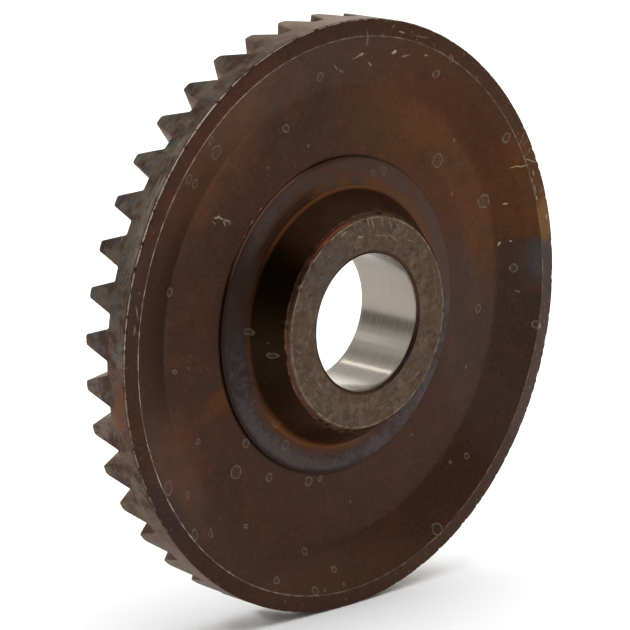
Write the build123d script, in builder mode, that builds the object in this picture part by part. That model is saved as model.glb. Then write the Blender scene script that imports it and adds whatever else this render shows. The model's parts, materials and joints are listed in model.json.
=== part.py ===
# Straight bevel crown wheel: toothed disc, flanged hub and bore bush.
# Units mm. The gear axis is Y. The boss faces -Y, the teeth point to +Y, +Z is up.
# y = 0 is the outer edge of the rim land on the boss side.
import os
from math import radians, sin

from build123d import *

os.makedirs("parts", exist_ok=True)

# ---- driving dimensions ----
TEETH = 41
PITCH = 360.0 / TEETH
PHASE = 5.06              # angle of the first tooth gap, from +X toward +Z
RIM_R = 30.25             # outside radius
RIM_EDGE = 0.12           # edge break of the rim
LAND_R = 28.53            # crest between rim land and dish
LAND_Y = -0.15            # the crest stands this far proud of the rim edge
DISH_R = 23.43            # foot of the dish cone
DISH_Y = 1.75             # web face at the foot of the dish
WEB_Y = 1.57              # web face at the hub flange, it rises a little toward the hub
SEAT_R = 16.2             # counterbore for the hub flange
SEAT_Y = 3.2              # floor of the counterbore
BARREL_R = 11.2           # hub barrel, boss and the hole through the web
BACK_Y = 4.8              # web face on the toothed side
TOE_R = 21.5              # inner end of the teeth
TOE_RUN = 1.2             # the toe cone leans inward by this much
HEEL_TIP_Y = 5.72         # tooth tip at the heel
HEEL_ROOT_Y = 2.48        # tooth root at the heel
HEEL_TAPER = 0.12         # the heel is this much smaller in radius at the tips
HEEL_EDGE = 0.06          # edge break between heel and tooth tips
APEX_Y = 11.16            # flanks, tips and roots all run to this point on the axis
TIP_HALF = 0.941          # half tooth width at the tip, degrees
ROOT_HALF = 3.017         # half tooth width at the root, degrees
ROOT_FILLET = 0.25        # at the heel; it shrinks with the tooth
CUT_PAST_HEEL = 1.5       # the cutter starts outside the blank
CUT_PAST_TOE = 4.0        # and ends inside the toe
CUT_PAST_TIP = 0.35       # flanks are carried on past the tip by this share of the depth

BOSS_Y = -2.89            # boss face
BOSS_FACE_R = 10.8        # flat of the boss face
FLANGE_Y = 1.31           # ring land at its outer edge
FLANGE_EDGE = 0.08
BOSS_R = 11.2             # edge of the boss, where its sloping side starts
FOOT_R = 13.25            # where the boss side runs out into the ring land
FOOT_Y = 0.89
FOOT_FILLET = 0.6
HUB_END_Y = 5.35          # hub end on the toothed side
HUB_END_EDGE = 0.3
MOUTH_R = 7.38            # chamfer at the bore mouth
MOUTH_DEPTH = 0.28
BORE_R = 7.0
BUSH_R = 7.9              # outside of the bush
LIP = 0.35                # straight lip behind the mouth chamfer, it stops the bush
END_CHAMFER = 0.25


def tip_y(r):
    """Axial place of the face cone at radius r."""
    return APEX_Y - (APEX_Y - HEEL_TIP_Y) * r / RIM_R


# ---- crown wheel: blank turned about Y, then the tooth gaps cut out ----
heel_tip_r = RIM_R - HEEL_TAPER
with BuildPart() as crown_wheel:
    with BuildSketch(Plane.XY):
        with BuildLine():
            Polyline(
                (BARREL_R, SEAT_Y),
                (SEAT_R, SEAT_Y),
                (SEAT_R, WEB_Y),
                (DISH_R, DISH_Y),
                (LAND_R, LAND_Y),
                (RIM_R - RIM_EDGE, 0.0),
                (RIM_R, RIM_EDGE),
                (heel_tip_r, tip_y(heel_tip_r) - HEEL_EDGE),
                (heel_tip_r - HEEL_EDGE, tip_y(heel_tip_r - HEEL_EDGE)),
                (TOE_R, tip_y(TOE_R)),
                (TOE_R - TOE_RUN, BACK_Y),
                (BARREL_R, BACK_Y),
                close=True,
            )
        make_face()
    revolve(axis=Axis.Y)

    # One gap, a frustum whose edges all run to the apex. The section at the heel
    # is drawn in a plane square to X, and scaled in proportion for the others.
    def gap_section(x):
        k = x / RIM_R
        half_root = RIM_R * sin(radians(PITCH / 2 - ROOT_HALF)) * k
        half_tip = RIM_R * sin(radians(PITCH / 2 - TIP_HALF)) * k
        y_root = APEX_Y - (APEX_Y - HEEL_ROOT_Y) * k
        y_tip = APEX_Y - (APEX_Y - HEEL_TIP_Y) * k
        # the flanks are carried on past the tip so the cut clears the blank
        y_top = y_tip + CUT_PAST_TIP * (y_tip - y_root)
        half_top = half_tip + CUT_PAST_TIP * (half_tip - half_root)
        return half_root, y_root, half_top, y_top, ROOT_FILLET * k

    for x_cut in (RIM_R + CUT_PAST_HEEL, TOE_R - CUT_PAST_TOE):
        hr, yr, ht, yt, fr = gap_section(x_cut)
        # local x is world Y, local y is world Z
        with BuildSketch(Plane.YZ.offset(x_cut)):
            with BuildLine():
                FilletPolyline((yt, -ht), (yr, -hr), (yr, hr), (yt, ht), radius=fr)
                Line((yt, ht), (yt, -ht))
            make_face()
    gap = loft(mode=Mode.PRIVATE)
    gaps = [gap.rotate(Axis.Y, -(PHASE + i * PITCH)) for i in range(TEETH)]
    add(gaps, mode=Mode.SUBTRACT)
crown_wheel.part.label = "crown_wheel"
export_step(crown_wheel.part, "parts/crown_wheel.step")

# ---- flanged hub: boss with a sloping side, ring land, and a lip at the bore mouth ----
lip_y = BOSS_Y + MOUTH_DEPTH + LIP
with BuildPart() as flanged_hub:
    with BuildSketch(Plane.XY):
        with BuildLine():
            Polyline(
                (FOOT_R, FOOT_Y),
                (BOSS_R, BOSS_Y + BOSS_R - BOSS_FACE_R),
                (BOSS_FACE_R, BOSS_Y),
                (MOUTH_R, BOSS_Y),
                (BORE_R, BOSS_Y + MOUTH_DEPTH),
                (BORE_R, lip_y),
                (BUSH_R, lip_y),
                (BUSH_R, HUB_END_Y),
                (BARREL_R - HUB_END_EDGE, HUB_END_Y),
                (BARREL_R, HUB_END_Y - HUB_END_EDGE),
                (BARREL_R, SEAT_Y),
                (SEAT_R, SEAT_Y),
                (SEAT_R, FLANGE_Y + FLANGE_EDGE),
                (SEAT_R - FLANGE_EDGE, FLANGE_Y),
                close=True,
            )
        make_face()
        fillet(vertices().sort_by_distance((FOOT_R, FOOT_Y, 0))[0], radius=FOOT_FILLET)
    revolve(axis=Axis.Y)
flanged_hub.part.label = "flanged_hub"
export_step(flanged_hub.part, "parts/flanged_hub.step")

# ---- bore bush: plain sleeve pressed in from the toothed side against the lip ----
with BuildPart() as bore_bush:
    with BuildSketch(Plane.XY):
        with BuildLine():
            Polyline(
                (BORE_R, lip_y),
                (BUSH_R, lip_y),
                (BUSH_R, HUB_END_Y),
                (BORE_R + END_CHAMFER, HUB_END_Y),
                (BORE_R, HUB_END_Y - END_CHAMFER),
                close=True,
            )
        make_face()
    revolve(axis=Axis.Y)
bore_bush.part.label = "bore_bush"
export_step(bore_bush.part, "parts/bore_bush.step")

for piece in (crown_wheel, flanged_hub, bore_bush):
    box = piece.part.bounding_box()
    print(piece.part.label, round(piece.part.volume, 1), len(piece.part.solids()), piece.part.is_valid, box)
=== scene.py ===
"""Straight bevel crown wheel: finished meshes, materials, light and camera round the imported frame."""
import json
import math

import bpy
import numpy as np
from mathutils import Matrix, Vector


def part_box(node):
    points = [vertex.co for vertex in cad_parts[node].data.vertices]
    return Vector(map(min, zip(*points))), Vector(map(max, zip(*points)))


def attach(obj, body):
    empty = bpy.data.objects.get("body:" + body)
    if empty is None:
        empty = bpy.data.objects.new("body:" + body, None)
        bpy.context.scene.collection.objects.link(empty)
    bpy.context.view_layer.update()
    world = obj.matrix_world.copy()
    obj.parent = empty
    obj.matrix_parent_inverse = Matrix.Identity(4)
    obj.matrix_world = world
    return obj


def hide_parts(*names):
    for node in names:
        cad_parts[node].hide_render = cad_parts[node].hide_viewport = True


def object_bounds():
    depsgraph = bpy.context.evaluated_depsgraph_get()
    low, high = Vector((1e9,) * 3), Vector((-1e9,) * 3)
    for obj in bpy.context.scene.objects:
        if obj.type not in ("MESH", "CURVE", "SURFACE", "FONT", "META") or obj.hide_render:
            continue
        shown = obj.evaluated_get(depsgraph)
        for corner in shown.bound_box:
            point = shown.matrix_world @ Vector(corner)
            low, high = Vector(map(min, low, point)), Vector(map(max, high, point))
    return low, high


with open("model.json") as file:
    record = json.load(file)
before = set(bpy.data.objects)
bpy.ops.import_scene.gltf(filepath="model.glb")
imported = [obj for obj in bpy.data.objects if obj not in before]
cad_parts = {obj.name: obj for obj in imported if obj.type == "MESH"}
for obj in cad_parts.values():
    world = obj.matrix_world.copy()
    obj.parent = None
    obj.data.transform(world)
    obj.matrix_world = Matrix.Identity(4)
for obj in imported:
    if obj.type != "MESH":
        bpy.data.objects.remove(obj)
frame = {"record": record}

cad_lo, cad_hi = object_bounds()

# ---------------------------------------------------------------- sizes, in millimetres
MM = 0.001
BODY = "wheel"
SHARP = math.radians(28)        # faces that meet at more than this keep a crisp edge between them


def node_box(name):
    """Lowest and highest corner of a CAD node, in millimetres."""
    lo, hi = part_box(name)
    return lo / MM, hi / MM


wheel_lo, wheel_hi = node_box("crown_wheel")
hub_lo, hub_hi = node_box("flanged_hub")
bush_lo, bush_hi = node_box("bore_bush")
bore_mount = next(m for m in frame["record"]["mounts"] if m["name"] == "bore")

TEETH = 41
PITCH = 2 * math.pi / TEETH
PHASE = math.radians(5.06)      # first gap, from +X toward +Z
RIM_R = wheel_hi.x
SEAT_R = hub_hi.z
BUSH_R = bush_hi.z
BORE_R = bore_mount["dims"]["r_mm"]
BOSS_Y = hub_lo.y
HUB_END_Y = hub_hi.y
LIP_Y = bush_lo.y
LAND_Y = wheel_lo.y
LAND_R = 28.53
DISH_R = 23.43
DISH_Y = 1.75
WEB_Y = 1.57
SEAT_Y = 3.2
BARREL_R = 11.2
BACK_Y = 4.8
TOE_R = 21.5
TOE_FOOT_R = 20.3
HEEL_TIP_Y = 5.72
HEEL_ROOT_Y = 2.48
HEEL_TAPER = 0.12
APEX_Y = 11.16
TIP_HALF = math.radians(0.941)
ROOT_HALF = math.radians(3.017)
BOSS_R = 11.2
BOSS_FACE_R = 10.8
FLANGE_Y = 1.31
FOOT_R = 13.25
FOOT_Y = 0.89
MOUTH_R = 7.38
MOUTH_DEPTH = 0.28


# ---------------------------------------------------------------- mesh helpers
def corner(before, at, after, radius, steps):
    """Points of a round of that radius on the corner at `at`."""
    before, at, after = (Vector(p) for p in (before, at, after))
    u = (before - at).normalized()
    v = (after - at).normalized()
    half = u.angle(v) / 2
    reach = radius / math.tan(half)
    centre = at + (u + v).normalized() * (radius / math.sin(half))
    start = at + u * reach - centre
    end = at + v * reach - centre
    turn = math.atan2(start.x * end.y - start.y * end.x, start.dot(end))
    points = []
    for i in range(steps + 1):
        t = turn * i / steps
        c, s = math.cos(t), math.sin(t)
        points.append((centre.x + start.x * c - start.y * s, centre.y + start.x * s + start.y * c))
    return points


def run(start, end, steps):
    """Points between two ends, without the ends."""
    start, end = Vector(start), Vector(end)
    return [tuple(start.lerp(end, i / steps)) for i in range(1, steps)]


def outline(corners, closed=True):
    """A profile from (x, y, round, round steps, steps to the next corner)."""
    ends = []
    n = len(corners)
    for i, (x, y, radius, steps, _) in enumerate(corners):
        if radius and (closed or 0 < i < n - 1):
            ends.append(corner(corners[i - 1][:2], (x, y), corners[(i + 1) % n][:2], radius, steps))
        else:
            ends.append([(x, y)])
    points = []
    for i in range(n):
        points += ends[i]
        if closed or i < n - 1:
            points += run(ends[i][-1], ends[(i + 1) % n][0], corners[i][4])
    return points


def turned(name, radii, heights, angles):
    """A closed ring mesh. radii and heights are (rows, columns) in millimetres, angles is (columns,)."""
    rows, cols = radii.shape
    co = np.empty((rows, cols, 3))
    co[..., 0] = radii * np.cos(angles)
    co[..., 1] = heights
    co[..., 2] = radii * np.sin(angles)
    a = np.arange(rows * cols).reshape(rows, cols)
    b = np.roll(a, -1, axis=1)
    c = np.roll(b, -1, axis=0)
    d = np.roll(a, -1, axis=0)
    faces = np.stack([a, b, c, d], axis=-1).reshape(-1, 4)
    mesh = bpy.data.meshes.new(name)
    mesh.from_pydata((co.reshape(-1, 3) * MM).tolist(), [], faces.tolist())
    mesh.validate()
    mesh.polygons.foreach_set("use_smooth", [True] * len(mesh.polygons))
    mesh.set_sharp_from_angle(angle=SHARP)
    obj = bpy.data.objects.new(name, mesh)
    bpy.context.scene.collection.objects.link(obj)
    return obj


def spun(profile, angles):
    """Radii and heights of a profile, the same at every angle."""
    points = np.array(profile)
    ones = np.ones_like(angles)
    return points[:, :1] * ones, points[:, 1:] * ones


def nicks(angles, radius, seed, count, widths, depths):
    """Depth of the random dents round an edge of that radius, at each angle."""
    rng = np.random.default_rng(seed)
    depth = np.zeros_like(angles)
    for _ in range(count):
        at = rng.uniform(0, 2 * math.pi)
        width = rng.uniform(*widths) / radius
        deep = rng.uniform(*depths)
        off = (angles - at + math.pi) % (2 * math.pi) - math.pi
        depth = np.maximum(depth, deep * np.clip(1 - (off / width) ** 2, 0, 1))
    return depth


# ---------------------------------------------------------------- crown wheel
def tooth_outline():
    """Heel outline over one pitch, as (angle from the gap's centre, height toward the tips)."""
    gap_root = RIM_R * (PITCH / 2 - ROOT_HALF)
    gap_tip = RIM_R * (PITCH / 2 - TIP_HALF)
    half = RIM_R * PITCH / 2
    points = outline([
        (0.0, HEEL_ROOT_Y, 0, 0, 3),
        (gap_root, HEEL_ROOT_Y, 0.25, 4, 6),
        (gap_tip, HEEL_TIP_Y, 0.36, 5, 2),
        (half, HEEL_TIP_Y, 0, 0, 0),
    ], closed=False)
    other = [(2 * half - s, y) for s, y in reversed(points[1:-1])]
    return [(s / RIM_R, y) for s, y in points + other]


def build_crown_wheel():
    pitch = tooth_outline()
    angles = np.array([PHASE + k * PITCH + a for k in range(TEETH) for a, _ in pitch])
    heel = np.array([y for _ in range(TEETH) for _, y in pitch])
    ones = np.ones_like(angles)
    up = (heel - HEEL_ROOT_Y) / (HEEL_TIP_Y - HEEL_ROOT_Y)

    def field(r):
        """Height of the tooth surface at radius r: every line of it runs to the apex."""
        return APEX_Y - (APEX_Y - heel) * r / RIM_R

    tip_at_toe = APEX_Y - (APEX_Y - HEEL_TIP_Y) * TOE_R / RIM_R
    toe_slope = (tip_at_toe - BACK_Y) / (TOE_R - TOE_FOOT_R)
    fall = (APEX_Y - heel) / RIM_R
    toe_r = (APEX_Y - BACK_Y + toe_slope * TOE_FOOT_R) / (toe_slope + fall)

    rows = []

    def row(r, y):
        rows.append((r * ones, y * ones))

    # tooth surface from toe to heel, with a small edge break at both ends
    toe_round = 0.06
    heel_r = RIM_R - HEEL_TAPER * heel / HEEL_TIP_Y
    tip_nick = nicks(angles, RIM_R, seed=31, count=40, widths=(0.3, 0.9), depths=(0.02, 0.14))
    heel_round = 0.05 + 0.05 * up + tip_nick * up
    row(toe_r + toe_round, field(toe_r + toe_round))
    for t in (0.03, 0.2, 0.4, 0.6, 0.8, 0.97):
        r = toe_r + toe_round + (heel_r - heel_round - toe_r - toe_round) * t
        row(r, field(r))
    middle = 0.29       # how far in the middle of a round lies, as a share of its radius
    row(heel_r - heel_round, field(heel_r - heel_round))
    row(heel_r - middle * heel_round, field(heel_r) - middle * heel_round)
    row(heel_r, field(heel_r) - heel_round)
    # heel band down to the rim edge
    top = field(heel_r) - heel_round - 0.1
    foot = 0.34
    for t in (0.0, 0.25, 0.5, 0.75, 1.0):
        y = top + (foot - top) * t
        row(RIM_R - HEEL_TAPER * y / HEEL_TIP_Y, y)
    # rim edge: how far in and up each row is, and how much of a dent's depth it takes in and up
    rim_nick = nicks(angles, RIM_R, seed=5, count=150, widths=(0.1, 0.35), depths=(0.02, 0.12))
    land_start = 0.13
    for inward, height, dent_in, dent_up in (
        (0.0, 0.2, 0.15, 0.0),
        (0.02, 0.09, 0.6, 0.1),
        (0.06, 0.03, 0.8, 0.6),
        (land_start, 0.0, 0.6, 0.5),
    ):
        row(RIM_R - inward - dent_in * rim_nick, height + dent_up * rim_nick)
    # rim land
    land_slope = LAND_Y / (RIM_R - LAND_R - land_start)
    for r in (30.0, 29.7, 29.3, 28.95):
        row(r, land_slope * (RIM_R - land_start - r))
    # its crest, as (outward, up, share of a dent), then the dish
    crest_nick = nicks(angles, RIM_R, seed=11, count=60, widths=(0.1, 0.5), depths=(0.01, 0.06))
    for outward, height, dent in (
        (0.1, 0.012, 0.3),
        (0.03, 0.008, 1.0),
        (-0.03, 0.016, 1.0),
        (-0.1, 0.04, 0.5),
    ):
        row(LAND_R + outward, LAND_Y + height + dent * crest_nick)
    dish_slope = (DISH_Y - LAND_Y) / (LAND_R - DISH_R)
    for r in (28.2, 27.4, 26.4, 25.4, 24.6):
        row(r, LAND_Y + (LAND_R - r) * dish_slope)
    # soft foot of the dish, then the web
    for r, y in corner((LAND_R, LAND_Y), (DISH_R, DISH_Y), (SEAT_R, WEB_Y), radius=1.6, steps=4):
        row(r, y)
    for r in (21.5, 20.0, 18.6, 17.4, 16.7, SEAT_R + 0.2):
        row(r, WEB_Y + (r - SEAT_R) * (DISH_Y - WEB_Y) / (DISH_R - SEAT_R))
    row(SEAT_R + 0.02, WEB_Y + 0.01)
    row(SEAT_R + 0.005, WEB_Y + 0.03)
    row(SEAT_R, SEAT_Y)
    row(BARREL_R, SEAT_Y)
    # hole through the web and the back face
    row(BARREL_R, BACK_Y - 0.1)
    row(BARREL_R + 0.03, BACK_Y - 0.03)
    row(BARREL_R + 0.1, BACK_Y)
    for r in (12.6, 14.5, 16.4, 18.2, 19.6):
        row(r, BACK_Y)
    for r, y in corner((BARREL_R, BACK_Y), (TOE_FOOT_R, BACK_Y), (TOE_R, tip_at_toe), radius=0.1, steps=3):
        row(r, y)
    # inner ends of the teeth
    toe_low = TOE_FOOT_R + 0.06
    toe_top = toe_r - 0.02
    low_y = BACK_Y + (toe_low - TOE_FOOT_R) * toe_slope
    top_y = BACK_Y + (toe_top - TOE_FOOT_R) * toe_slope
    for t in (0.35, 0.97):
        row(toe_low + (toe_top - toe_low) * t, low_y + (top_y - low_y) * t)

    radii = np.array([r for r, _ in rows])
    heights = np.array([y for _, y in rows])
    return turned("toothed_wheel", radii[::-1], heights[::-1], angles)


# ---------------------------------------------------------------- hub and bush
def build_hub():
    side_top = BOSS_Y + BOSS_R - BOSS_FACE_R
    flange_r = SEAT_R - 0.01        # a hair's breadth of seam
    end_edge = 0.3
    profile = outline([
        (flange_r, SEAT_Y, 0, 0, 3),
        (flange_r, FLANGE_Y, 0.07, 4, 8),
        (FOOT_R, FOOT_Y, 0.6, 8, 10),
        (BOSS_R, side_top, 0.12, 3, 2),
        (BOSS_FACE_R, BOSS_Y, 0.12, 3, 9),
        (MOUTH_R, BOSS_Y, 0.06, 2, 2),
        (BORE_R, BOSS_Y + MOUTH_DEPTH, 0.04, 2, 2),
        (BORE_R, LIP_Y, 0, 0, 1),
        (BUSH_R, LIP_Y, 0, 0, 4),
        (BUSH_R, HUB_END_Y, 0.05, 2, 5),
        (BARREL_R - end_edge, HUB_END_Y, 0.1, 2, 1),
        (BARREL_R, HUB_END_Y - end_edge, 0.1, 2, 4),
        (BARREL_R, SEAT_Y, 0, 0, 4),
    ])
    angles = np.linspace(0, 2 * math.pi, 480, endpoint=False)
    r, y = spun(profile, angles)
    # dents round the two corners of the boss edge, fading out over this distance
    reach = 0.3
    for edge_r, edge_y, seed, count in ((BOSS_FACE_R, BOSS_Y, 21, 30), (BOSS_R, side_top, 22, 18)):
        near = np.clip(1 - np.hypot(r - edge_r, y - edge_y) / reach, 0, 1)
        dent = nicks(angles, edge_r, seed, count, widths=(0.15, 0.7), depths=(0.03, 0.14))
        r -= near * dent
        y += near * dent
    return turned("flanged_boss", r, y, angles)


def build_bush():
    chamfer = 0.25
    profile = outline([
        (BORE_R, LIP_Y, 0, 0, 14),
        (BORE_R, HUB_END_Y - chamfer, 0.05, 2, 1),
        (BORE_R + chamfer, HUB_END_Y, 0.05, 2, 2),
        (BUSH_R, HUB_END_Y, 0, 0, 6),
        (BUSH_R, LIP_Y, 0, 0, 3),
    ])
    angles = np.linspace(0, 2 * math.pi, 256, endpoint=False)
    return turned("ground_sleeve", *spun(profile, angles), angles)


# ---------------------------------------------------------------- material helpers
def srgb(red, green, blue):
    """Linear colour from 8-bit display values."""
    def one(v):
        v /= 255
        return v / 12.92 if v <= 0.04045 else ((v + 0.055) / 1.055) ** 2.4
    return one(red), one(green), one(blue)


def film(red, green, blue):
    """Base colour of an oxide film that shows as this display value in even light."""
    sheen, gain = 0.0114, 1.17
    return tuple(max(v - sheen, 0.0) / gain for v in srgb(red, green, blue))


class Shader:
    """Short calls that add nodes to one material and return sockets."""

    def __init__(self, tree):
        self.tree = tree

    def node(self, kind):
        return self.tree.nodes.new("ShaderNode" + kind)

    def feed(self, value, socket):
        if isinstance(value, bpy.types.NodeSocket):
            self.tree.links.new(value, socket)
        else:
            socket.default_value = value

    def math(self, operation, a, b=0.0):
        node = self.node("Math")
        node.operation = operation
        for value, socket in zip((a, b), node.inputs):
            self.feed(value, socket)
        return node.outputs[0]

    def plus(self, a, b):
        return self.math("ADD", a, b)

    def minus(self, a, b):
        return self.math("SUBTRACT", a, b)

    def off(self, value, target):
        """How far value is from target, either way."""
        return self.math("ABSOLUTE", self.minus(value, target))

    def times(self, *values):
        total = values[0]
        for v in values[1:]:
            total = self.math("MULTIPLY", total, v)
        return total

    def pick(self, operation, values):
        """MAXIMUM or MINIMUM of many values, in pairs, since a long chain overflows the renderer's stack."""
        values = list(values)
        while len(values) > 1:
            pairs = [self.math(operation, a, b) for a, b in zip(values[::2], values[1::2])]
            values = pairs + values[2 * len(pairs):]
        return values[0]

    def most(self, *values):
        return self.pick("MAXIMUM", values)

    def smooth(self, value, low, high, to_low=0.0, to_high=1.0):
        """value taken smoothly from to_low at low to to_high at high."""
        node = self.node("MapRange")
        node.interpolation_type = "SMOOTHSTEP"
        if low > high:
            low, high, to_low, to_high = high, low, to_high, to_low
        for v, name in ((value, "Value"), (low, "From Min"), (high, "From Max"), (to_low, "To Min"),
                        (to_high, "To Max")):
            self.feed(v, node.inputs[name])
        return node.outputs[0]

    def band(self, value, low, high, soft):
        """1 between low and high, falling to 0 over soft."""
        return self.times(self.smooth(value, low - soft, low), self.smooth(value, high + soft, high))

    def scaled(self, vector, factors, shift=(0, 0, 0)):
        """vector times factors, then moved by shift."""
        node = self.node("Mapping")
        self.feed(vector, node.inputs["Vector"])
        node.inputs["Scale"].default_value = factors
        node.inputs["Location"].default_value = shift
        return node.outputs[0]

    def vector(self, x, y, z):
        node = self.node("CombineXYZ")
        for value, socket in zip((x, y, z), node.inputs):
            self.feed(value, socket)
        return node.outputs[0]

    def noise(self, vector, scale, detail, rough=0.55):
        node = self.node("TexNoise")
        self.feed(vector, node.inputs["Vector"])
        for v, name in ((scale, "Scale"), (detail, "Detail"), (rough, "Roughness")):
            node.inputs[name].default_value = v
        return node.outputs[0]

    def of_vectors(self, operation, a, b):
        node = self.node("VectorMath")
        node.operation = operation
        for value, socket in zip((a, b), node.inputs):
            self.feed(value, socket)
        return next(s for s in node.outputs if s.enabled)

    def distance(self, vector, point):
        return self.of_vectors("DISTANCE", vector, point)

    def dot(self, vector, direction):
        return self.of_vectors("DOT_PRODUCT", vector, direction)

    def hypot(self, a, b):
        return self.math("SQRT", self.plus(self.times(a, a), self.times(b, b)))

    def mix(self, factor, a, b):
        """Colour a where factor is 0, colour b where it is 1."""
        node = self.node("Mix")
        node.data_type = "RGBA"
        self.feed(factor, node.inputs["Factor"])
        for value, name in ((a, "A"), (b, "B")):
            socket = next(s for s in node.inputs if s.name == name and s.type == "RGBA")
            self.feed(value if isinstance(value, bpy.types.NodeSocket) else (*value, 1.0), socket)
        return next(s for s in node.outputs if s.type == "RGBA")


class Metal(Shader):
    """A metal with the wheel's own millimetre coordinates ready."""

    def __init__(self, name):
        self.material = bpy.data.materials.new(name)
        self.material.use_nodes = True
        super().__init__(self.material.node_tree)
        self.tree.nodes.clear()
        out = self.node("OutputMaterial")
        self.bsdf = self.node("BsdfPrincipled")
        self.feed(self.bsdf.outputs[0], out.inputs[0])
        self.place = self.scaled(self.node("TexCoord").outputs["Object"], (1 / MM, 1 / MM, 1 / MM))
        split = self.node("SeparateXYZ")
        self.feed(self.place, split.inputs[0])
        self.x, self.y, self.z = split.outputs
        self.flat = self.of_vectors("MULTIPLY", self.place, (1, 0, 1))
        self.r = self.distance(self.flat, (0, 0, 0))
        self.angle = self.math("ARCTAN2", self.z, self.x)

    def patch(self, x, z, wide, high, tilt, soft, place=None):
        """1 inside an ellipse on the face, 0 outside, soft in between. tilt in degrees."""
        place = place or self.flat
        centre = Vector((x, 0, z))
        cosine, sine = math.cos(math.radians(tilt)), math.sin(math.radians(tilt))
        along = Vector((cosine, 0, sine)) / wide
        across = Vector((-sine, 0, cosine)) / high
        away = self.hypot(self.minus(self.dot(place, along), centre.dot(along)),
                          self.minus(self.dot(place, across), centre.dot(across)))
        return self.smooth(away, 1.0 + soft / 2, 1.0 - soft / 2)

    def shaken(self):
        """The flat place moved a little at random, so that small marks are uneven, and how far it moved."""
        jog = self.times(self.minus(self.noise(self.place, 1.3, 2), 0.5), 0.5)
        step = self.of_vectors("SCALE", (1, 0, -1), (0, 0, 0))
        self.feed(jog, step.node.inputs["Scale"])
        return self.of_vectors("ADD", self.flat, step), jog

    def near_angle(self, degrees, outer, inner):
        """1 within `inner` degrees of an angle round the axis (-180 to 180), 0 past `outer`."""
        away = self.off(self.angle, math.radians(degrees))
        return self.smooth(away, math.radians(outer), math.radians(inner))

    def bump(self, height, distance, strength, normal=None):
        """A normal bent by height, distance millimetres deep, on top of an earlier one."""
        node = self.node("Bump")
        node.inputs["Strength"].default_value = strength
        node.inputs["Distance"].default_value = distance * MM
        self.feed(height, node.inputs["Height"])
        if normal is not None:
            self.feed(normal, node.inputs["Normal"])
        return node.outputs[0]

    def finish(self, color, rough, normal, metallic, edge=(0.55, 0.5, 0.46)):
        self.feed(color, self.bsdf.inputs["Base Color"])
        self.feed(rough, self.bsdf.inputs["Roughness"])
        self.feed(normal, self.bsdf.inputs["Normal"])
        self.feed(metallic, self.bsdf.inputs["Metallic"])
        self.bsdf.inputs["Specular Tint"].default_value = (*edge, 1.0)
        return self.material


# ---------------------------------------------------------------- materials
# dried droplets on the face, (x, z, radius) in millimetres
DROPS_WHEEL = (
    (-2.8, 24.8, 0.4), (-7.0, 20.1, 0.36), (13.1, 23.1, 0.36), (14.5, 24.6, 0.26), (23.1, 15.2, 0.46),
    (14.5, 13.8, 0.7), (21.4, 8.5, 0.7), (25.3, 0.9, 0.4), (20.7, -2.8, 0.4), (27.7, -5.4, 0.36),
    (-24.4, -13.0, 0.7), (-21.2, -14.5, 0.36), (-19.1, -9.6, 0.26), (-14.0, -13.7, 0.66), (-9.5, -15.1, 0.4),
    (-12.7, -11.0, 0.4), (-4.0, -16.6, 0.46), (-2.4, -16.6, 0.26), (-21.1, -18.4, 0.5), (-18.4, -18.9, 0.36),
    (-4.7, -23.8, 0.3), (-9.8, -25.5, 0.36), (-4.6, -27.7, 0.36), (-1.3, -26.2, 0.26), (13.1, -24.8, 0.6),
    (-17.2, 19.3, 0.7), (-21.4, 17.3, 0.5), (-20.1, 16.6, 0.4), (-18.5, 20.7, 0.36), (18.3, -18.1, 0.26),
    (-22.7, 6.1, 0.4), (-12.6, -19.6, 0.2), (-22.1, -2.0, 0.2),
)
DROPS_HUB = (
    (6.2, 14.0, 0.4), (4.6, 14.0, 0.3), (-7.8, -12.0, 0.46), (-9.3, -9.5, 0.3), (-13.2, 0.7, 0.3),
    (-11.8, -1.6, 0.26),
)
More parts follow.
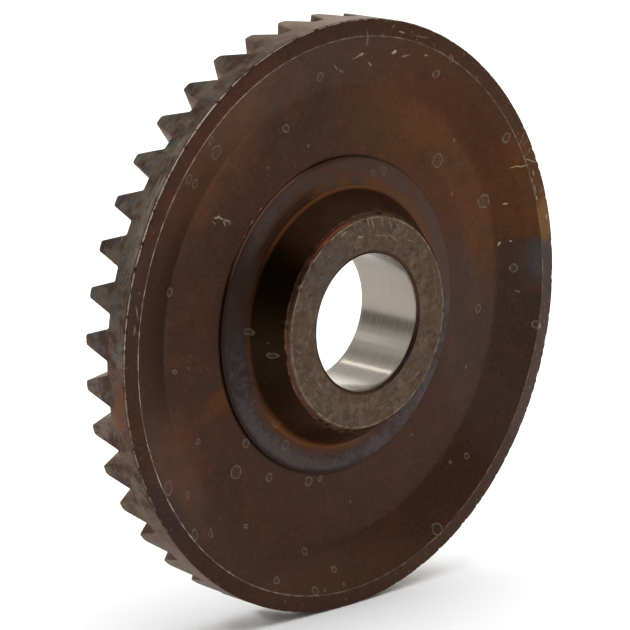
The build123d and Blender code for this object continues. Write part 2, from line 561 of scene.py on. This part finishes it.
# bruises and scratches, (x, z, half length, half width, tilt in degrees, strength)
BRUISES_WHEEL = (
    (6.8, 26.2, 0.32, 0.16, 0, 0.9), (2.0, 26.3, 0.7, 0.1, 15, 0.5), (2.4, 26.5, 0.24, 0.12, 20, 0.6),
    (8.5, 25.6, 0.5, 0.1, 5, 0.35), (-0.8, 25.5, 0.5, 0.06, -47, 0.4), (0.1, 25.0, 0.4, 0.06, -25, 0.35),
    (3.9, 25.3, 0.36, 0.08, -42, 0.5), (11.1, 25.4, 0.24, 0.1, -14, 0.5), (7.4, 28.2, 0.4, 0.09, -18, 0.6),
    (2.6, 28.2, 0.8, 0.12, -77, 0.25), (10.2, 27.4, 1.0, 0.05, -15, 0.35), (6.2, 28.9, 0.3, 0.08, 40, 0.4),
    (-16.4, 12.6, 0.35, 0.1, 7, 0.8), (-15.9, 12.4, 0.5, 0.09, -31, 0.6), (-15.0, 12.0, 0.45, 0.1, -19, 0.5),
    (-15.4, 11.8, 0.27, 0.08, -73, 0.5), (-16.8, 12.1, 0.24, 0.07, -41, 0.35),
    (25.0, 11.9, 1.0, 0.08, 6, 0.55), (26.6, 12.3, 1.1, 0.06, -18, 0.5), (25.2, 14.8, 0.7, 0.05, 58, 0.45),
    (25.8, 14.5, 0.6, 0.05, 25, 0.4), (26.1, 13.4, 0.8, 0.05, 40, 0.4), (27.0, 10.9, 0.3, 0.08, -80, 0.8),
    (27.2, 9.3, 0.5, 0.08, -70, 0.45), (28.2, 9.0, 0.4, 0.07, -105, 0.4), (27.5, 8.2, 0.24, 0.12, -70, 0.7),
    (29.1, 6.0, 0.32, 0.12, -103, 0.9), (23.9, 8.0, 0.26, 0.08, 5, 0.9), (23.6, 3.7, 0.26, 0.14, 40, 0.7),
    (24.9, 3.8, 0.14, 0.1, 0, 0.6), (25.7, -1.6, 0.3, 0.08, -19, 0.35), (28.2, -5.6, 0.32, 0.09, -96, 0.7),
    (-28.6, 5.4, 0.6, 0.08, 100, 0.4), (-28.9, 3.6, 0.5, 0.07, 85, 0.35), (-11.8, 11.4, 0.3, 0.08, 45, 0.8),
    (-10.6, 12.5, 0.2, 0.07, 40, 0.6), (-12.9, 10.1, 0.24, 0.06, 50, 0.5),
)
BRUISES_HUB = (
    (0.0, 10.2, 0.5, 0.06, -70, 0.5), (0.6, 10.0, 0.5, 0.06, -78, 0.6), (1.9, 9.9, 0.6, 0.05, -75, 0.5),
    (3.0, 9.7, 0.5, 0.06, -65, 0.5), (4.1, 9.3, 0.6, 0.05, -60, 0.4), (-1.2, 9.0, 0.45, 0.08, 5, 0.7),
    (1.8, 8.6, 1.0, 0.05, -10, 0.4), (3.4, 8.2, 1.2, 0.05, -35, 0.4), (-3.4, 9.6, 0.5, 0.06, 30, 0.4),
    (-5.6, 7.6, 0.6, 0.06, 50, 0.3), (6.0, 7.4, 0.6, 0.05, -20, 0.35), (-8.2, 0.6, 0.5, 0.06, 80, 0.3),
    (-7.0, -5.0, 0.7, 0.06, -50, 0.3), (2.0, -9.0, 0.8, 0.05, 15, 0.3), (6.8, -6.6, 0.9, 0.06, 35, 0.35),
)


def droplets(s, marks, place):
    """Thin pale rings round the dried droplets, and the discs inside them."""
    off = s.pick("MINIMUM", [s.minus(s.distance(place, (x, 0, z)), radius) for x, z, radius in marks])
    return s.smooth(s.math("ABSOLUTE", off), 0.11, 0.02), s.smooth(off, 0.05, -0.1)


def bruises(s, marks, place):
    """Short bright dents and scratches, each a thin ellipse."""
    return s.most(*(
        s.times(s.patch(x, z, half, thin, tilt, 0.8, place), amount)
        for x, z, half, thin, tilt, amount in marks
    ))


def small_spots(s, scale, size, seed, share):
    """Scattered specks, in that share of the cells of a pattern with `scale` cells to the millimetre."""
    node = s.node("TexVoronoi")
    node.feature = "F1"
    s.feed(s.scaled(s.place, (1, 0, 1), (seed, 0, seed)), node.inputs["Vector"])
    node.inputs["Scale"].default_value = scale
    split = s.node("SeparateColor")
    s.feed(node.outputs["Color"], split.inputs[0])
    chosen = s.math("GREATER_THAN", split.outputs[0], 1 - share)
    return s.times(s.smooth(node.outputs["Distance"], size, size * 0.5), chosen)


def web_color(s, cloud, wavy_z):
    """Temper colours of the dished face, out to the rim land, with painted light and painted shade round the
    foot of the dish at the upper right.
    """
    color = s.mix(s.smooth(cloud, 0.35, 0.65), film(64, 44, 35), film(68, 45, 34))
    for x, z, wide, high, tilt, soft, tint, amount in (
        (14, 13, 14, 10, -50, 1.2, (82, 50, 30), 0.85),
        (9, 20, 7, 4, -20, 1.2, (84, 52, 30), 0.6),
        (5, 19, 2.6, 2.8, 0, 1.2, (66, 51, 34), 0.5),
        (-18, 19, 10, 5, 45, 1.0, (88, 57, 39), 0.9),
        (-16, -6, 3.2, 1.1, 25, 1.2, (92, 54, 28), 0.6),
        (-22.5, -11, 6, 3.4, -62, 1.0, (86, 55, 38), 0.8),
        (0, -27.5, 14, 3.0, 0, 1.0, (78, 54, 40), 0.8),
        (25.5, 9.5, 4.6, 6.0, 0, 0.6, (88, 56, 32), 0.7),
        (20, -7, 5, 13, 20, 0.8, (68, 53, 50), 0.8),
        (-24.5, -15.5, 1.6, 5, 38, 1.0, (54, 45, 47), 0.7),
        (-29.3, 8, 1.5, 6, -14, 1.0, (66, 52, 54), 0.6),
    ):
        color = s.mix(s.times(s.patch(x, z, wide, high, tilt, soft), amount), color, film(*tint))
    # slate grey on the right, with a sharp upper end and a blue corner
    slate = s.times(s.smooth(s.r, DISH_R - 0.4, DISH_R + 0.2), s.smooth(s.x, 19.0, 23.0),
                    s.smooth(s.z, -14.0, -4.0), s.smooth(wavy_z, 4.4, 3.6))
    color = s.mix(s.times(slate, 0.9), color, film(57, 46, 41))
    color = s.mix(s.times(s.patch(29.4, 1.6, 3.0, 2.6, 0, 1.0), slate, 0.65), color, film(66, 68, 71))
    # at the upper right, painted light on the web inside the foot of the dish, and painted shade, deep red,
    # on the dish outside it
    painted_light_inside_foot = s.times(s.band(s.r, 20.0, DISH_R - 0.2, 1.2), s.patch(17, 12, 12, 10, -50, 1.0))
    color = s.mix(s.times(painted_light_inside_foot, 0.6), color, film(92, 58, 34))
    # painted shade, deep red, on the dish just outside its foot
    deep = s.times(s.band(s.r, DISH_R + 0.3, 26.6, 0.8), s.patch(17, 15, 14, 12, -50, 0.8))
    return s.mix(s.times(deep, 0.45), color, film(68, 40, 27))


def rim_land_color(s, color):
    """The same with the rim land's own patches and specks."""
    rim_land = s.smooth(s.r, LAND_R - 0.05, LAND_R + 0.1)
    for x, z, wide, high, tint, amount in (
        (-22, 21, 13, 9, (72, 47, 38), 0.8),
        (29.0, 5.8, 1.6, 2.4, (124, 88, 48), 0.8),
        (27.5, -9, 5, 10, (82, 66, 62), 0.8),
        (-6, -30, 16, 4, (74, 50, 38), 0.7),
    ):
        color = s.mix(s.times(s.patch(x, z, wide, high, 0, 0.7), rim_land, amount), color, film(*tint))
    specks = s.most(small_spots(s, 1.0, 0.2, 37.0, 0.4), small_spots(s, 1.6, 0.22, 51.0, 0.35))
    specks = s.times(specks, rim_land, s.smooth(s.x, -8.0, 10.0, 0.25, 0.8))
    return s.mix(specks, color, film(124, 100, 82))


def heel_band_color(s, fine, blotch, marks):
    """Turned band behind the rim and the outer ends of the teeth."""
    color = s.mix(s.smooth(blotch, 0.38, 0.62), srgb(70, 56, 49), srgb(104, 92, 82))
    color = s.mix(s.smooth(marks, 0.54, 0.7, 0.0, 0.7), color, srgb(134, 122, 98))
    cool = s.plus(s.noise(s.place, 0.8, 3), s.smooth(s.y, 2.4, 4.4, 0.0, 0.07))
    color = s.mix(s.smooth(cool, 0.54, 0.66, 0.0, 0.65), color, srgb(80, 83, 86))
    # paler at the lower end, and at the upper end
    upper_end = s.times(s.smooth(s.x, -12.0, -1.0), s.smooth(s.z, 0.0, 5.0))
    pale = s.most(s.smooth(s.z, -13.0, -24.0), upper_end)
    color = s.mix(s.times(pale, 0.8), color, srgb(142, 128, 116))
    color = s.mix(s.smooth(fine, 0.5, 0.32, 0.0, 0.4), color, srgb(54, 42, 37))
    # reddish low down on the left, scuffed pale above that
    red = s.times(s.near_angle(-173, 17, 0), s.smooth(s.y, 3.4, 1.0))
    color = s.mix(s.times(red, s.smooth(blotch, 0.35, 0.6), 0.7), color, srgb(92, 50, 32))
    scuff = s.times(s.near_angle(150, 24, 8), s.smooth(s.y, 1.7, 0.5), s.smooth(marks, 0.42, 0.6))
    return s.mix(s.times(scuff, 0.6), color, srgb(146, 136, 114))


def back_color(s, cloud, stain):
    """Brown turned web of the toothed side."""
    rings = s.noise(s.vector(s.times(s.r, 2.2), 0.0, s.times(s.angle, 0.4)), 1.0, 3)
    color = s.mix(s.smooth(cloud, 0.35, 0.65), film(62, 44, 36), film(74, 49, 37))
    color = s.mix(s.smooth(stain, 0.5, 0.72, 0.0, 0.45), color, film(88, 54, 36))
    color = s.mix(s.smooth(stain, 0.48, 0.3, 0.0, 0.45), color, film(54, 46, 42))
    return s.mix(s.smooth(rings, 0.52, 0.7, 0.0, 0.5), color, film(92, 68, 54))


def flank_color(s, fine, blotch):
    """Teeth: dark roots, and flanks worn bare where the pinion runs."""
    root_y = s.plus(s.times(s.r, (HEEL_ROOT_Y - APEX_Y) / RIM_R), APEX_Y)
    depth = s.times(s.r, (HEEL_TIP_Y - HEEL_ROOT_Y) / RIM_R)
    height = s.math("DIVIDE", s.minus(s.y, root_y), depth)
    color = s.mix(s.smooth(blotch, 0.38, 0.64), srgb(82, 63, 54), srgb(104, 88, 79))
    contact = s.times(s.band(height, 0.45, 0.85, 0.2), s.band(s.r, 23.5, 28.0, 1.5))
    color = s.mix(s.times(contact, s.smooth(fine, 0.3, 0.6, 0.4, 0.8)), color, srgb(140, 128, 116))
    color = s.mix(s.smooth(height, 0.3, 0.05, 0.0, 0.8), color, srgb(52, 39, 33))
    return s.mix(s.smooth(fine, 0.5, 0.34, 0.0, 0.4), color, srgb(56, 42, 35))


def wheel_material():
    s = Metal("brown_oxide_steel")
    uneven, jog = s.shaken()
    cloud = s.noise(s.place, 0.07, 3)
    stain = s.noise(s.place, 0.4, 5, 0.6)
    fine = s.noise(s.place, 2.6, 5, 0.65)
    blotch = s.noise(s.place, 0.45, 4)
    turning = s.noise(s.vector(s.times(s.angle, 14.0), s.times(s.y, 6.0), 0.0), 1.0, 6, 0.62)

    color = rim_land_color(s, web_color(s, cloud, s.minus(s.z, jog)))
    # painted shade on the web beside the hub's seam, and a painted highlight on it at the upper left
    seam_painted_shading = s.smooth(s.r, SEAT_R + 0.4, SEAT_R + 0.1)
    seam_shade_and_highlight = s.mix(s.near_angle(128, 32, 12), film(46, 31, 25), film(104, 66, 52))
    color = s.mix(s.times(seam_painted_shading, s.smooth(s.x, 14.0, 4.0, 0.3, 0.85)), color, seam_shade_and_highlight)
    # cloudy, slightly stained film
    color = s.mix(s.smooth(stain, 0.5, 0.72, 0.0, 0.4), color, film(90, 52, 34))
    color = s.mix(s.smooth(stain, 0.48, 0.3, 0.0, 0.4), color, film(54, 44, 34))
    color = s.mix(s.smooth(fine, 0.52, 0.75, 0.0, 0.45), color, film(94, 68, 52))
    color = s.mix(s.smooth(fine, 0.48, 0.28, 0.0, 0.5), color, film(46, 34, 28))

    # toothed side, then the heel band over it
    beyond = s.smooth(s.y, 2.1, 2.3)
    heel = s.times(s.smooth(s.r, RIM_R - 0.28, RIM_R - 0.16), s.smooth(s.y, 0.1, 0.26))
    toothed = s.smooth(s.r, TOE_FOOT_R - 0.1, TOE_FOOT_R + 0.1)
    toothed_side = s.mix(toothed, back_color(s, cloud, stain), flank_color(s, fine, blotch))
    color = s.mix(s.times(beyond, s.minus(1.0, heel)), color, toothed_side)
    color = s.mix(heel, color, heel_band_color(s, fine, blotch, turning))

    # bright lines on the crest, the rim edge and the tooth tips, broken along their length: wear, with
    # painted highlight that makes them stronger on the left and toward the top
    breaks = s.noise(s.place, 0.8, 5, 0.65)
    crest = s.times(s.smooth(s.off(s.r, LAND_R), 0.085, 0.02), s.smooth(s.y, 1.2, 0.8),
                    s.smooth(s.x, 0.0, -25.0, 0.35, 1.0), s.smooth(breaks, 0.42, 0.66, 0.2, 1.0))
    upper_left = s.smooth(s.minus(s.z, s.times(s.x, 1.4)), 5, 40)
    edge_off = s.hypot(s.minus(s.r, RIM_R - 0.06), s.minus(s.y, 0.05))
    edge = s.times(s.smooth(edge_off, 0.1, 0.03),
                   s.smooth(s.plus(breaks, s.times(upper_left, 0.16)), 0.54, 0.7))
    tip = s.times(s.smooth(s.off(s.y, HEEL_TIP_Y), 0.16, 0.05),
                  s.smooth(s.r, RIM_R - 0.4, RIM_R - 0.2), s.smooth(breaks, 0.42, 0.6))
    wear_and_highlight = s.most(crest, s.times(edge, s.smooth(s.z, -6.0, 4.0, 0.4, 0.8)))
    wear_and_highlight = s.most(wear_and_highlight, s.times(tip, 0.5))
    color = s.mix(wear_and_highlight, color, srgb(166, 156, 140))
    # painted highlight on the rim edge at the upper left
    painted_edge_highlight = s.times(edge, s.near_angle(143, 28, 12))
    color = s.mix(s.times(painted_edge_highlight, 0.8), color, srgb(226, 214, 196))

    # droplets, specks and bruises
    front = s.smooth(s.y, 2.1, 2.0)
    rings, fills = droplets(s, DROPS_WHEEL, uneven)
    rings = s.times(rings, front, s.smooth(fine, 0.3, 0.6, 0.3, 1.0))
    color = s.mix(s.times(fills, front, 0.22), color, srgb(70, 62, 48))
    color = s.mix(s.times(rings, 0.75), color, srgb(112, 100, 84))
    specks = s.most(small_spots(s, 0.35, 0.09, 3.0, 0.35), small_spots(s, 0.6, 0.06, 11.0, 0.25))
    specks = s.times(specks, front)
    color = s.mix(s.times(specks, 0.6), color, srgb(112, 92, 72))
    struck_face = s.times(bruises(s, BRUISES_WHEEL, uneven), front)
    color = s.mix(struck_face, color, srgb(150, 134, 112))

    bare = s.most(heel, s.times(beyond, toothed), wear_and_highlight, struck_face)
    rough = s.smooth(s.noise(s.place, 0.5, 3), 0.3, 0.7, 0.38, 0.46)
    rough = s.plus(rough, s.times(s.most(rings, specks), 0.15))
    polar = s.vector(s.times(s.r, 6.0), s.times(s.angle, 3.0), s.times(s.y, 6.0))
    normal = s.bump(s.noise(polar, 1.0, 3), 0.006, 0.35)
    normal = s.bump(s.noise(s.place, 5.0, 4), 0.012, 0.35, normal)
    normal = s.bump(s.times(turning, heel), 0.05, 0.5, normal)
    return s.finish(color, rough, normal, s.smooth(bare, 0.0, 1.0, 0.6, 1.0))


def ring_land_color(s, patchy, low):
    """Ring land: purple-grey outside, brown and then orange toward the foot."""
    color = s.mix(s.smooth(patchy, 0.38, 0.62), film(58, 49, 46), film(72, 62, 62))
    warm = s.times(s.smooth(s.r, 15.2, 13.5), s.smooth(s.noise(s.place, 0.6, 3), 0.3, 0.6, 0.5, 1.0))
    color = s.mix(warm, color, film(56, 37, 28))
    # dark and blue-grey on the left, grey at the lower left
    color = s.mix(s.patch(-14.5, 3, 3, 8, 0, 1.0), color, film(50, 39, 35))
    color = s.mix(s.times(s.patch(-14.8, -2.5, 1.6, 5, 0, 1.0), 0.7), color, film(53, 46, 45))
    color = s.mix(s.times(s.patch(-10, -11, 6, 4, -45, 1.0), 0.6), color, film(60, 58, 62))
    # brown and tan above, frosty below
    upper = s.smooth(s.plus(s.z, s.times(s.x, 0.5)), 1.0, 13.0)
    upper_color = s.mix(s.smooth(patchy, 0.42, 0.58), film(84, 56, 40), film(74, 58, 52))
    color = s.mix(s.times(upper, 0.8), color, upper_color)
    tan = s.times(s.smooth(s.r, 15.0, 13.7), upper, s.smooth(s.noise(s.place, 0.7, 4), 0.35, 0.6))
    color = s.mix(s.times(tan, 0.8), color, film(98, 60, 33))
    frost = s.times(s.smooth(s.noise(s.place, 1.5, 5, 0.7), 0.46, 0.7), s.smooth(s.z, 3.0, -8.0))
    color = s.mix(s.times(frost, 0.6), color, film(84, 80, 86))
    # lower left: brown foot, then a paler band; upper left: dark foot
    pale = s.times(s.band(s.r, 14.9, 15.5, 0.4), s.near_angle(-120, 40, 8), 0.8)
    dark = s.times(s.smooth(s.r, 14.6, 13.9), s.near_angle(128, 30, 16), 0.8)
    color = s.mix(s.times(s.smooth(s.r, 14.5, 13.7), low, 0.9), color, film(78, 49, 32))
    color = s.mix(pale, color, film(77, 68, 64))
    color = s.mix(dark, color, film(50, 33, 24))
    # painted shade on the land toward the seam, and a painted highlight there at the upper left
    land_seam_shade_mask = s.smooth(s.r, SEAT_R - 0.6, SEAT_R - 0.1)
    land_seam_shade_and_highlight = s.mix(s.smooth(s.z, 6.0, 13.0), film(39, 29, 25), film(60, 41, 31))
    land_seam_shade_and_highlight = s.mix(s.near_angle(122, 24, 8), land_seam_shade_and_highlight, film(74, 53, 47))
    return s.mix(s.times(land_seam_shade_mask, s.smooth(s.x, 8.0, -2.0, 0.1, 0.9)), color, land_seam_shade_and_highlight)


def boss_face_color(s, grain):
    """Worn grey boss face, bluish at the upper left and dirty at the lower right."""
    color = s.mix(s.smooth(grain, 0.28, 0.72), srgb(62, 50, 42), srgb(95, 81, 67))
    color = s.mix(s.smooth(s.noise(s.place, 0.45, 4), 0.45, 0.62, 0.0, 0.6), color, srgb(78, 60, 49))
    blue = s.times(s.patch(-6, 6, 3.4, 6, 45, 1.0), s.smooth(grain, 0.42, 0.6), 0.7)
    color = s.mix(blue, color, srgb(68, 66, 64))
    dirt = s.times(s.patch(9.2, -8, 2.2, 3.6, 40, 1.0), s.smooth(grain, 0.5, 0.62), 0.7)
    return s.mix(dirt, color, srgb(50, 43, 38))


def boss_edge_color(s, color):
    """The same with the bright line round the boss face, the darker chamfer outside it, and a painted orange
    glint on the boss edge at the upper left.
    """
    breaks = s.noise(s.place, 1.1, 4, 0.6)
    rim = s.times(s.smooth(s.off(s.r, BOSS_FACE_R - 0.1), 0.15, 0.03),
                  s.smooth(s.y, BOSS_Y + 0.2, BOSS_Y + 0.1), s.smooth(breaks, 0.35, 0.62, 0.1, 0.8))
    outside_face = s.smooth(s.r, BOSS_FACE_R - 0.1, BOSS_FACE_R + 0.05)
    chamfer = s.times(s.band(s.y, BOSS_Y + 0.14, BOSS_Y + 0.38, 0.05), outside_face)
    color = s.mix(chamfer, color, srgb(78, 52, 38))
    outer = s.hypot(s.minus(s.r, BOSS_R - 0.02), s.minus(s.y, BOSS_Y + 0.42))
    outer = s.times(s.smooth(outer, 0.12, 0.03), s.smooth(breaks, 0.46, 0.64))
    color = s.mix(s.most(rim, s.times(outer, 0.5)), color, srgb(118, 106, 88))
    # painted orange glint on the boss edge at the upper left
    painted_glint = s.times(s.near_angle(120, 23, 6), s.band(s.y, BOSS_Y + 0.12, BOSS_Y + 0.18, 0.06),
                    s.smooth(s.r, BOSS_FACE_R - 0.2, BOSS_FACE_R - 0.05))
    return s.mix(s.times(painted_glint, 0.75), color, srgb(168, 78, 52))


def hub_material():
    s = Metal("worn_hub_steel")
    uneven, _ = s.shaken()
    patchy = s.noise(s.place, 0.5, 4)
    grain = s.noise(s.place, 1.6, 7, 0.68)
    low = s.near_angle(-112, 52, 26)
    color = ring_land_color(s, patchy, low)

    # sloping side, with painted shade on the left, lighter at the bottom, and a thin orange line at its foot
    side = s.times(s.smooth(s.r, FOOT_R - 0.05, FOOT_R - 0.3), s.smooth(s.y, BOSS_Y + 0.35, BOSS_Y + 0.5))
    side_color = s.mix(s.smooth(patchy, 0.4, 0.6), film(58, 39, 28), film(64, 43, 31))
    painted_side_shade = s.patch(-14, 1.5, 7, 12, 0, 0.8)
    side_color = s.mix(painted_side_shade, side_color, srgb(34, 23, 14))
    side_color = s.mix(s.patch(4, -13, 6, 4, 0, 1.0), side_color, film(74, 52, 38))
    color = s.mix(side, color, side_color)
    foot_off = s.off(s.r, FOOT_R - 0.1)
    line = s.most(s.smooth(foot_off, 0.17, 0.05), s.times(s.smooth(foot_off, 0.5, 0.1), low))
    line_color = s.mix(s.smooth(s.x, -9.0, -11.5), film(108, 66, 38), film(72, 45, 31))
    color = s.mix(s.times(line, s.smooth(s.y, 0.2, 0.5), 0.85), color, line_color)

    # outer edge of the flange, with a painted highlight at the upper left
    flange = s.times(s.smooth(s.r, SEAT_R - 0.12, SEAT_R - 0.05),
                     s.smooth(s.y, FLANGE_Y + 0.5, FLANGE_Y + 0.3))
    flange_edge_highlight_color = s.mix(s.near_angle(132, 32, 12), film(66, 48, 40), film(150, 108, 90))
    color = s.mix(s.times(flange, 0.8), color, flange_edge_highlight_color)

    # boss face with its edge and marks
    face = s.times(s.smooth(s.y, BOSS_Y + 0.45, BOSS_Y + 0.35),
                   s.smooth(s.r, MOUTH_R - 0.05, MOUTH_R + 0.02))
    color = boss_edge_color(s, s.mix(face, color, boss_face_color(s, grain)))
    color = s.mix(s.times(bruises(s, BRUISES_HUB, uneven), face), color, srgb(138, 128, 110))

    # turned end on the toothed side
    end = s.smooth(s.y, HUB_END_Y - 0.12, HUB_END_Y - 0.04)
    lathe = s.noise(s.vector(s.times(s.r, 5.0), 0.0, s.times(s.angle, 0.6)), 1.0, 3)
    end_color = s.mix(s.smooth(lathe, 0.4, 0.6), srgb(66, 52, 42), srgb(96, 80, 66))
    end_color = s.mix(s.smooth(grain, 0.45, 0.65, 0.0, 0.5), end_color, srgb(72, 55, 46))
    color = s.mix(end, color, end_color)

    # dark chamfer at the mouth of the bore, then the lip, ground bright with the bush
    lip = s.times(s.smooth(s.r, MOUTH_R - 0.1, MOUTH_R - 0.24), s.smooth(s.y, LIP_Y + 0.3, LIP_Y + 0.1))
    color = s.mix(lip, color, srgb(62, 47, 41))
    ground = s.times(s.smooth(s.r, BORE_R + 0.06, BORE_R + 0.02), lip)
    color = s.mix(ground, color, (0.28, 0.25, 0.21))

    # droplets, pale specks and dark spots
    rings, fills = droplets(s, DROPS_HUB, uneven)
    off_face = s.minus(1.0, face)
    color = s.mix(s.times(fills, off_face, 0.25), color, srgb(66, 58, 50))
    color = s.mix(s.times(rings, off_face, 0.5), color, srgb(96, 84, 74))
    color = s.mix(s.times(small_spots(s, 0.9, 0.09, 5.0, 0.4), 0.4), color, srgb(118, 104, 88))
    color = s.mix(s.times(small_spots(s, 0.8, 0.14, 23.0, 0.5), 0.4), color, srgb(38, 30, 26))

    rough = s.smooth(s.noise(s.place, 0.7, 4), 0.3, 0.7, 0.36, 0.46)
    rough = s.minus(rough, s.times(ground, 0.2))
    bare = s.most(face, lip, end)
    # more metallic on the bare faces and under the side's painted shade
    metallic = s.smooth(s.most(bare, s.times(painted_side_shade, side)), 0.0, 1.0, 0.6, 1.0)
    normal = s.bump(s.noise(s.place, 4.0, 5), 0.02, 0.3)
    normal = s.bump(s.times(grain, face), 0.05, 0.4, normal)
    return s.finish(color, rough, normal, metallic)


def bush_material():
    s = Metal("ground_steel")
    around = s.vector(s.times(s.angle, 2.0), s.times(s.y, 6.0), 0.0)
    marks = s.noise(around, 1.0, 5)
    color = s.mix(s.smooth(marks, 0.3, 0.7), (0.26, 0.23, 0.192), (0.30, 0.268, 0.228))
    # painted shade at the upper right, with a painted highlight streak at the lower right
    color = s.mix(s.times(s.smooth(s.angle, 0.45, 0.8), 0.9), color, (0.19, 0.166, 0.138))
    painted_highlight_streak = s.times(s.near_angle(-31, 6, 2), s.smooth(s.y, -1.5, 3.0, 0.3, 0.8))
    color = s.mix(painted_highlight_streak, color, (0.40, 0.37, 0.33))
    rough = s.smooth(marks, 0.3, 0.7, 0.17, 0.24)
    normal = s.bump(s.noise(around, 3.0, 3), 0.004, 0.3)
    return s.finish(color, rough, normal, 1.0, edge=(1.0, 1.0, 1.0))


# ---------------------------------------------------------------- pieces
def install(obj, node, material):
    obj.data.materials.append(material)
    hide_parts(node)
    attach(obj, BODY)


install(build_crown_wheel(), "crown_wheel", wheel_material())
install(build_hub(), "flanged_hub", hub_material())
install(build_bush(), "bore_bush", bush_material())


# ---------------------------------------------------------------- floor, light, camera
def build_floor():
    half = 4.0
    z = cad_lo.z
    mesh = bpy.data.meshes.new("floor")
    corners = [(-half, -half, z), (half, -half, z), (half, half, z), (-half, half, z)]
    mesh.from_pydata(corners, [], [(0, 1, 2, 3)])
    floor = bpy.data.objects.new("floor", mesh)
    material = bpy.data.materials.new("floor_white")
    material.use_nodes = True
    bsdf = material.node_tree.nodes["Principled BSDF"]
    bsdf.inputs["Base Color"].default_value = (0.9, 0.9, 0.9, 1.0)
    bsdf.inputs["Roughness"].default_value = 1.0
    mesh.materials.append(material)
    bpy.context.scene.collection.objects.link(floor)


def area_light(name, place, width, height, power, mirrored=True):
    """A light that points at the bore's centre. power is in watts."""
    light = bpy.data.lights.new(name, "AREA")
    light.shape = "RECTANGLE"
    light.size = width
    light.size_y = height
    light.energy = power
    obj = bpy.data.objects.new(name, light)
    obj.location = place
    obj.rotation_mode = "QUATERNION"
    obj.rotation_quaternion = (-Vector(place)).to_track_quat("-Z", "Y")
    obj.visible_glossy = mirrored
    bpy.context.scene.collection.objects.link(obj)


def build_world():
    """A pale room: open and bright on the right and behind, dark on the camera's side."""
    world = bpy.data.worlds.new("studio")
    world.use_nodes = True
    tree = world.node_tree
    background = tree.nodes["Background"]
    s = Shader(tree)
    look = s.node("TexCoord").outputs["Generated"]

    def lobe(direction, inner, outer):
        """1 within `inner` degrees of a direction, 0 past `outer`."""
        cosine = s.dot(look, Vector(direction).normalized())
        return s.smooth(cosine, math.cos(math.radians(outer)), math.cos(math.radians(inner)))

    # each lobe darkens its direction by that share; the last one brightens it
    level = 1.0
    for direction, inner, outer, amount in (
        ((-0.85, -0.45, 0.2), 25, 75, 0.9),
        ((0.1, -0.98, 0.05), 15, 60, 0.45),
        ((-0.1, -0.3, 0.95), 5, 60, 0.35),
        ((-0.714, 0.697, 0.08), 4, 17, 0.65),
        ((-0.21, 0.70, 0.69), 3, 10, 0.38),
        ((0.678, 0.697, 0.235), 8, 26, -1.0),
    ):
        level = s.times(level, s.minus(1.0, s.times(lobe(direction, inner, outer), amount)))
    s.feed(level, background.inputs["Strength"])
    background.inputs["Color"].default_value = (1.0, 1.0, 1.0, 1.0)
    bpy.context.scene.world = world


def build_camera():
    """The wheel is seen from the front left and a little above, with a long lens."""
    azimuth = math.radians(-44.256)
    elevation = math.radians(13.567)
    # distance and offsets from the bore's centre are in outside radii
    radius = RIM_R * MM
    distance = 14.906 * radius
    aside = -0.1103 * radius
    above = 0.0094 * radius
    back = Vector((
        math.sin(azimuth) * math.cos(elevation),
        -math.cos(azimuth) * math.cos(elevation),
        math.sin(elevation),
    ))
    right = Vector((math.cos(azimuth), math.sin(azimuth), 0.0))
    up = back.cross(right)
    camera = bpy.data.cameras.new("camera")
    camera.sensor_width = 36.0
    camera.lens = 256.35
    camera.clip_start = 0.01
    camera.clip_end = 20.0
    obj = bpy.data.objects.new("camera", camera)
    basis = Matrix((right, up, back)).transposed()
    obj.matrix_world = Matrix.Translation(back * distance + right * aside + up * above) @ basis.to_4x4()
    bpy.context.scene.collection.objects.link(obj)
    bpy.context.scene.camera = obj


build_floor()
build_world()
area_light("overhead", (0.1, -0.1, 1.3), width=1.8, height=1.8, power=24.0, mirrored=False)
area_light("strip", (0.087, 0.697, 0.712), width=0.05, height=0.05, power=0.09)
build_camera()
bpy.context.scene.view_settings.view_transform = "Standard"
